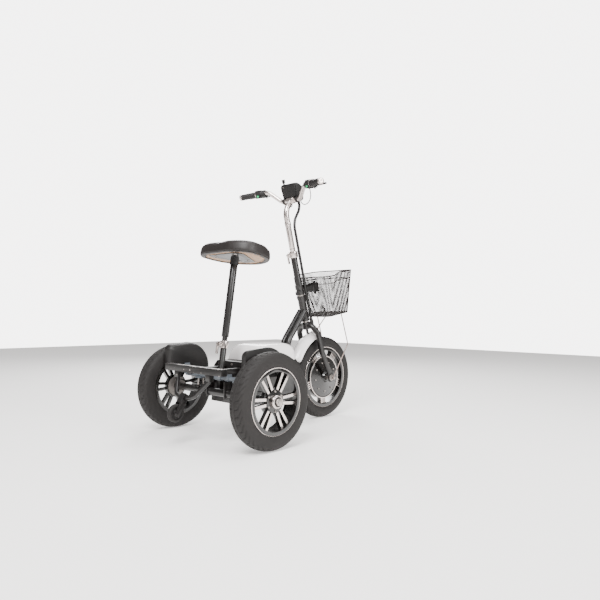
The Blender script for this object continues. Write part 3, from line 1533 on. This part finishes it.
@dataclass
class Saddle:
    """Padded saddle on a plywood board, its plate, post and mast.

    Attributes:
        width: Widest part of the saddle.
        length: Length from back to nose.
        rear: Rear edge, from the post.
        low: Underside of the plate along the mast.
        pad: Thickness of the pad with its skirt.
        swell: How far the filling may push the cover.
        bulge: How far it may push it sideways.
    """

    width: float = 360.0
    length: float = 270.0
    rear: float = -118.0
    low: float = 550.0
    pad: float = 52.0
    swell: float = 7.0
    bulge: float = 2.0

    def half(self, u: float) -> float:
        """Returns half of the width at a share of the length."""
        if u < 0.34:
            return self.width / 2 * math.sqrt(max(0.0, 1 - ((0.34 - u) / 0.37) ** 2.6))
        return self.width / 2 * max(0.0, 1 - ((u - 0.34) / 0.66) ** 2.4) ** 0.54

    def outline(self, inset: float, steps: int = 40) -> list[tuple[float, float]]:
        """Draws the saddle's plan.

        Args:
            inset: Distance inside its edge.
            steps: Steps along each side.

        Returns:
            Points (x, y), anticlockwise from the back.
        """
        side = []
        for i in range(steps + 1):
            u = 0.5 - 0.5 * math.cos(math.pi * i / steps)
            x = self.rear + inset + (self.length - 2 * inset) * u
            side.append((x, max(2.0, self.half(u) - inset)))
        return [(x, -y) for x, y in side] + side[::-1]

    def stuffed(self, scooter: Scooter) -> bpy.types.Object:
        """Fills the cover with cloth pressure, over a body a little smaller than its CAD solid.

        Args:
            scooter: Frames and CAD nodes.

        Returns:
            The padded piece.
        """
        low = self.low
        levels = [(8.4, low + 12.6), (8.4, low + 0.6), (5.5, low - 1.2), (2.4, low + 1.5), (0.8, low + 8),
                  (0.6, low + 18), (1.2, low + 30), (4, low + 39), (11, low + 46), (24, low + 50),
                  (50, low + 52), (86, low + 53)]
        rings = [[(x, y, z) for x, y in self.outline(inset)] for inset, z in levels]
        pad = make("saddle_cover", loft(rings), scooter.mast, SEAT_VINYL, crease=80)
        remesh = pad.modifiers.new("even", "REMESH")
        remesh.mode = "VOXEL"
        remesh.voxel_size = 0.0052
        baked(pad)
        self.inflate(pad, scooter.mast)
        smooth_out = pad.modifiers.new("relax", "SMOOTH")
        smooth_out.factor = 0.5
        smooth_out.iterations = 6
        rounder = pad.modifiers.new("rounder", "SUBSURF")
        rounder.levels = rounder.render_levels = 1
        baked(pad)
        pad.data.materials.clear()
        pad.data.materials.append(SEAT_VINYL.material())
        pad.data.shade_smooth()
        return pad

    def inflate(self, pad: bpy.types.Object, frame: Matrix) -> None:
        """Runs the cloth and keeps its shape within the allowed swell and above the board.

        Args:
            pad: Even mesh of the cover.
            frame: Frame of the mast.
        """
        rest = [v.co.copy() for v in pad.data.vertices]
        cloth = pad.modifiers.new("fill", "CLOTH")
        cloth.settings.use_pressure = True
        cloth.settings.uniform_pressure_force = 4.0
        cloth.settings.effector_weights.gravity = 0.0
        cloth.settings.quality = 5
        scene = bpy.context.scene
        for step in range(1, 21):
            scene.frame_set(step)
        depsgraph = bpy.context.evaluated_depsgraph_get()
        moved_to = [v.co.copy() for v in pad.evaluated_get(depsgraph).data.vertices]
        pad.modifiers.clear()
        scene.frame_set(1)
        inverse = frame.inverted()
        for vert, old, new in zip(pad.data.vertices, rest, moved_to):
            shift = new - old
            if shift.length > self.swell * MM:
                shift *= self.swell * MM / shift.length
            local, start = inverse @ (old + shift), inverse @ old
            spread = (local - start) * Vector((1, 1, 0))
            if spread.length > self.bulge * MM:
                local -= spread * (1 - self.bulge * MM / spread.length)
            free = min(1.0, max(0.0, (start.z / MM - self.low - 13) / 12))
            local = start.lerp(local, free)
            local.z = min(local.z, (self.low + self.pad + 6) * MM)
            vert.co = frame @ local

    def skirt(self, scooter: Scooter) -> bpy.types.Object:
        """Makes the cover's edge, pulled over the board and cut off raggedly under it.

        Args:
            scooter: Frames and CAD nodes.

        Returns:
            The skirt as one sheet with thickness.
        """
        rows = [(4.0, 1.0), (7.0, -0.4), (12.0, 0.4), (24.0, 0.2)]
        rings = []
        for k, (inset, z) in enumerate(rows):
            ring = []
            for i, (x, y) in enumerate(self.outline(inset, 64)):
                rag = 0.0
                if k == len(rows) - 1:
                    rag = 3.2 * math.sin(i * 1.7) + 2.4 * math.sin(i * 0.63 + 1) + 1.8 * math.sin(i * 3.1)
                wave = 0.5 * math.sin(i * 0.9) * (k > 1)
                length = math.hypot(x, y)
                ring.append((x * (1 + rag / length), y * (1 + rag / length), self.low + z + wave * 0.4))
            rings.append(ring)
        verts, faces = loft(rings)
        sheet = make("saddle_skirt", (verts, faces[:-2]), scooter.mast, SEAT_VINYL, crease=80)
        thick = sheet.modifiers.new("thickness", "SOLIDIFY")
        thick.thickness = 1.3 * MM
        thick.offset = 1.0
        rounder = sheet.modifiers.new("rounder", "SUBSURF")
        rounder.levels = rounder.render_levels = 1
        return baked(sheet)

    def build(self, scooter: Scooter) -> None:
        """Makes and places the saddle and what carries it.

        Args:
            scooter: Frames and CAD nodes.
        """
        pad = scooter.show(self.stuffed(scooter), "seat", "seat_cushion")
        scooter.show(self.skirt(scooter), "seat")
        scooter.soften("seat_board", "seat", PLYWOOD, 0.8)
        scooter.soften("seat_plate", "seat", FRAME_BLACK, 0.5)
        self.fasteners(scooter)
        scooter.soften("seat_post", "seat_slider", FRAME_BLACK, 0.9)
        scooter.soften("seat_mast", "chassis", FRAME_BLACK, 0.8)
        scooter.soften("seat_clamp", "chassis", ALLOY, 0.8)
        scooter.soften("seat_clamp_lever", "seat_cam", ALLOY, 0.8)

    def fasteners(self, scooter: Scooter) -> None:
        """Puts staples along the cover's edge and bolts through the plate.

        Args:
            scooter: Frames and CAD nodes.
        """
        bend = rounded([(-4.5, 0, 0.3), (-4.5, 0, -0.6), (4.5, 0, -0.6), (4.5, 0, 0.3)], 0.5, 2)
        wire = stamp("staple", tube(bend, 0.45, 6))
        edge = [(x, y, self.low - 0.1) for x, y in self.outline(17.0, 22)]
        points = moved(strings("staples", [edge]), scooter.mast)
        staples = Scatter().apply(points, ZINC, Piece=wire, Turn=(0.0, math.radians(8), 0.6), Spread=1.6)
        scooter.show(staples, "seat")
        head = screw_head(7.2, 4.2)
        heads = [([(x + px, y + py, self.low - 0.2 - z) for x, y, z in head[0]], [f[::-1] for f in head[1]])
                 for px, py in ((-58, 70), (-58, -70), (58, 30), (58, -30))]
        scooter.show(make("seat_bolt_heads", joined(*heads), scooter.mast, ZINC, 0.0), "seat")


@dataclass
class Chassis:
    """Lower frame, beam, axle, battery box with its cover, guards and anti-tip wheel.

    Attributes:
        rear_x: Place of the rear axle.
        box_x: Rear face of the battery box, from the rear axle.
        box_length: Length of the battery box.
        box_width: Width of the battery box.
        box_top: Top of the battery box.
        cover_height: Height of the deck cover.
        tube_radius: Radius of each down tube.
        tube_y: Distance of each down tube from the middle.
    """

    rear_x: float = REAR_AXLE[0]
    box_x: float = 74.0
    box_length: float = 316.0
    box_width: float = 264.0
    box_top: float = 334.0
    cover_height: float = 80.0
    tube_radius: float = 14.0
    tube_y: float = 16.5

    def cover(self) -> Shape:
        """Makes the deck cover as a dome over a rounded rectangle."""
        rings = []
        start, end = self.box_x + 56, self.box_x + self.box_length - 2
        for inset, rise in ((3.4, 0.3), (0.4, 0.3), (0.0, 2.0), (0.8, 10), (3.0, 26), (6.0, 40), (10.5, 53),
                            (17.0, 63), (26.0, 71), (38.0, 76), (54, 78.6), (76, 79.5)):
            half = self.box_width / 2 - 8 - inset
            front = end - inset * 0.42
            rear = start + 9.2 + inset * 1.05
            corner = min(34 + inset * 0.5, half - 2)
            plan = rounded_box(rear, front, half, corner, 10, 5)
            rings.append([(x, y, self.box_top + rise) for x, y in plan])
        return loft(rings)

    def guard(self) -> Shape:
        """Makes one domed wheel guard, on the left."""
        rings = []
        for k in range(15):
            t = k / 14
            y = 287 - 42 * t
            inset = 23 * (1 - math.sqrt(max(0.0, 1 - t ** 2.6)))
            rings.append([(x, y, z) for x, z in self.guard_outline(inset)])
        return loft(rings)

    def guard_outline(self, inset: float) -> list[tuple[float, float]]:
        """Draws the guard's side view.

        Args:
            inset: Distance inside its edge.

        Returns:
            Points (x, z) from the rear foot over the top to the front foot.
        """
        low, size = 288.0, 122.0
        points = [(-98 + inset, low)]
        cx, cz = -68.0, low + size - 34
        for a in map(math.radians, range(180, 100, -8)):
            points.append((cx + (30 - inset) * math.cos(a), cz + (30 - inset) * math.sin(a)))
        for a in map(math.radians, range(90, -1, -5)):
            points.append((22 + (size - inset) * math.cos(a), low + (size - inset) * math.sin(a) + 4))
        points.append((22 + size - inset, low))
        return points

    def build(self, scooter: Scooter) -> None:
        """Makes and places every piece that doesn't move.

        Args:
            scooter: Frames and CAD nodes.
        """
        at = Matrix.Translation(Vector((self.rear_x, 0, 0)) * MM)
        soft = [("frame_rails", FRAME_BLACK, 2.2), ("rear_beam", BEAM_BLACK, 2.0), ("cross_tube", TUBE_GREY, 0.8),
                ("axle_beam", FRAME_BLACK, 0.9), ("rear_axle", ZINC, 0.8), ("frame_bolts", ZINC, 0.5),
                ("battery_box", FRAME_BLACK, 1.6), ("anti_tip_bracket", FRAME_BLACK, 0.9),
                ("brake_plates", CAST_ALLOY, 0.5)]
        for node, finish, bevel in soft:
            scooter.soften(node, "chassis", finish, bevel)
        for node, finish in (("bearings", ZINC), ("battery_pack", BATTERY_WRAP), ("controller", CAST_ALLOY),
                             ("brake_shoes", LINING)):
            scooter.dress(node, finish)
        scooter.show(make("cover_shown", self.cover(), at, WHITE_ABS, 0.0, 60), "chassis", "deck_cover")
        guard = self.guard()
        scooter.show(make("guard_shell_left", guard, at, BLACK_ABS, 0.8, 50), "chassis", "guard_left")
        scooter.show(make("guard_shell_right", mirrored(guard), at, BLACK_ABS, 0.8, 50), "chassis", "guard_right")
        self.tubes(scooter, at)
        self.tip_wheel(scooter)
        self.details(scooter, at)

    def tubes(self, scooter: Scooter, at: Matrix) -> None:
        """Makes the two down tubes, the looped rear tube and the brake cables.

        Args:
            scooter: Frames and CAD nodes.
            at: Frame at the rear axle.
        """
        down = rounded([(417.5, self.tube_y, 272.5), (426.5, self.tube_y, 416), (549.5, self.tube_y, 572.1)], 90, 24)
        scooter.show(make("down_tubes_shown", both_sides(tube(down, self.tube_radius, 36)), at, FRAME_BLACK),
                     "chassis", "down_tubes")
        loop = rounded([(-140, 112, 271), (-182, 62, 204), (-188, 30, 196), (-188, -30, 196), (-182, -62, 204),
                        (-140, -112, 271)], 30, 10)
        scooter.show(make("tail_tube_shown", tube(loop, 10, 32), at, FRAME_BLACK), "chassis", "anti_tip_tube")
        wire = [(68, 100, 238), (40, 112, 232), (22, 140, 226), (12, 180, 226), (6, 225, 228), (2, 270, 231),
                (0, 300, 233), (0, 317.7, 234)]
        cables = both_sides(tube(smooth(wire, 8), 3, 16))
        scooter.show(make("brake_cables_shown", cables, at, CABLE_PVC), "chassis", "brake_cables")

    def tip_wheel(self, scooter: Scooter) -> None:
        """Makes the small rear wheel: a ribbed tyre on a moulded hub.

        Args:
            scooter: Frames and CAD nodes.
        """
        at = Matrix.Translation(Vector((self.rear_x - 227, 0, 136)) * MM)
        profile = [(26, -9), (29, -11), (35, -9.2), (37.6, -5), (38, -1.5), (37.2, -0.8), (37.2, 0.8), (38, 1.5),
                   (37.6, 5), (35, 9.2), (29, 11), (26, 9)]
        scooter.show(make("tip_tyre", lathe(profile, 96, True), at, TYRE_RUBBER), "tip_wheel", "anti_tip_wheel")
        hub = [(5.06, -12), (13, -12), (14.5, -11), (16, -7), (24, -7), (26.4, -9.5), (26.4, 9.5), (24, 7), (16, 7),
               (14.5, 11), (13, 12), (5.06, 12)]
        scooter.show(make("tip_hub", lathe(hub, 96, True), at, BLACK_ABS), "tip_wheel")
        rib = block((14, 6.6, -1.3), (25, 8.6, 1.3))
        ribs = Ring().apply(plain("tip_ribs", joined(rib, mirrored(rib))), BLACK_ABS, Count=6, First_Angle=0.3)
        scooter.show(moved(ribs, at), "tip_wheel")

    def details(self, scooter: Scooter, at: Matrix) -> None:
        """Adds screw heads, the box's seam and plugs in the tube ends.

        Args:
            scooter: Frames and CAD nodes.
            at: Frame at the rear axle.
        """
        head = stamp("panel_screw", screw_head(4.5, 2.6))
        x0, x1 = self.box_x + 24, self.box_x + self.box_length - 24
        for side, tag in ((1, "left"), (-1, "right")):
            row = [(x0 + (x1 - x0) * k / 4, side * (self.box_width / 2 - 0.1), 190.0) for k in range(5)]
            spots = moved(strings("box_screws_" + tag, [row]), at)
            outward = (-side * math.pi / 2, 0.0, 0.0)
            scooter.show(Scatter().apply(spots, ZINC, Piece=head, Turn=outward, Spread=0.0), "chassis")
        plugs = joined(*[block((-147.5, y, 298.5), (-122.5, y + 0.4, 322.5)) for y in (200.0, -200.4)])
        scooter.show(make("beam_plugs", plugs, at, BLACK_ABS, 0.15), "chassis")
        trim = rounded_box(self.box_x + 61, self.box_x + self.box_length - 0.4, self.box_width / 2 - 6, 34, 10, 5)
        seam = strings("cover_seam", [[(x, y, self.box_top + 0.8) for x, y in trim]], True)
        scooter.show(moved(Wires().apply(seam, GRIP_RUBBER, Radius=1.3, Sides=8), at), "chassis")


@dataclass
class Studio:
    """Pale floor, soft lights and the camera.

    Attributes:
        place: Camera position in metres.
        yaw: Heading of the view about Z.
        pitch: Rise of the view.
        roll: Turn of the picture about the view.
        lens: Focal length in millimetres.
        sky_light: Strength of the sky as a light.
        sky_seen: Strength of the sky as a backdrop.
    """

    place: Point = (-1.8519, -1.88774, 0.54496)
    yaw: float = 0.7441499
    pitch: float = 0.0303246
    roll: float = 0.0113476
    lens: float = 31.956
    sky_light: float = 0.38
    sky_seen: float = 6.0

    def camera(self) -> None:
        """Makes the camera."""
        ahead = Vector((math.cos(self.pitch) * math.cos(self.yaw), math.cos(self.pitch) * math.sin(self.yaw),
                        math.sin(self.pitch)))
        right = ahead.cross(Vector((0, 0, 1))).normalized()
        up = right.cross(ahead)
        across = math.cos(self.roll) * right + math.sin(self.roll) * up
        above = math.cos(self.roll) * up - math.sin(self.roll) * right
        data = bpy.data.cameras.new("camera")
        data.lens = self.lens
        data.sensor_width = 36
        data.clip_end = 60
        obj = bpy.data.objects.new("camera", data)
        rows = zip(across, above, -ahead, self.place)
        obj.matrix_world = Matrix([list(r) for r in rows] + [[0, 0, 0, 1]])
        bpy.context.scene.collection.objects.link(obj)
        bpy.context.scene.camera = obj

    def light(self, name: str, place: Point, size: float, power: float) -> None:
        """Makes one soft light that looks at the object's middle.

        Args:
            name: Name of the light.
            place: Its place in metres.
            size: Edge of its panel in metres.
            power: Power in watts.
        """
        data = bpy.data.lights.new(name, "AREA")
        data.size = size
        data.energy = power
        obj = bpy.data.objects.new(name, data)
        aim = Vector((0, 0, 0.5)) - Vector(place)
        obj.location = place
        obj.rotation_euler = aim.to_track_quat("-Z", "Y").to_euler()
        bpy.context.scene.collection.objects.link(obj)

    def build(self) -> None:
        """Makes the floor, the lights, the sky and the camera."""
        far, pale = 7.0, srgb("#fbf9f8")
        floor = plain("floor", ([(-far, -far, 0), (far, -far, 0), (far, far, 0), (-far, far, 0)], [[0, 1, 2, 3]]))
        paint = Finish("matt_studio_paint", "#f6f4f2", Gloss.CHALKY, grain_mm=6, relief_mm=0.02, mottle=0.01)
        cover = paint.material()
        glow = cover.node_tree.nodes["Principled BSDF"]
        glow.inputs["Emission Color"].default_value = pale
        glow.inputs["Emission Strength"].default_value = 0.5
        floor.data.materials.append(cover)
        floor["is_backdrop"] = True
        world = bpy.data.worlds.new("sky")
        world.use_nodes = True
        sky = world.node_tree.nodes["Background"]
        sky.inputs["Color"].default_value = pale
        ray = add_node(world.node_tree, "ShaderNodeLightPath")
        power = add_node(world.node_tree, "ShaderNodeMapRange",
                         {"Value": ray.outputs["Is Camera Ray"], "To Min": self.sky_light, "To Max": self.sky_seen})
        world.node_tree.links.new(power.outputs["Result"], sky.inputs["Strength"])
        bpy.context.scene.world = world
        for name, place, size, power in (("key", (-2.6, -1.4, 3.2), 1.8, 260), ("side", (0.2, -3.4, 1.9), 1.6, 110),
                                         ("rim", (1.8, 2.4, 2.6), 1.8, 130), ("top", (0.6, -0.6, 4.5), 3.5, 170)):
            self.light(name, place, size, power)
        self.camera()


def note_size() -> None:
    note_size.sizes.append([list(corner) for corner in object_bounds()])


note_size.sizes = []


def main() -> None:
    """Builds the scooter's sub-assemblies in order."""
    logging.basicConfig(level=logging.INFO, format="%(name)s: %(message)s")
    for obj in list(bpy.data.objects):
        bpy.data.objects.remove(obj)
    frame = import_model()
    note_size()
    scooter = Scooter(frame)
    rear_tyre = Tyre(200.0, 78.0, 127.0, 73.0, 40)
    for side in (1, -1):
        RearWheel(side, tyre=rear_tyre).build(scooter)
    FrontWheel(tyre=Tyre(217.5, 62.0, 152.0, 50.0, 44, 3.6)).build(scooter)
    Fork().build(scooter)
    Handlebar().build(scooter)
    Basket().build(scooter)
    Chassis().build(scooter)
    Saddle().build(scooter)
    Studio().build()
    note_size()


if __name__ == "__main__":
    main()
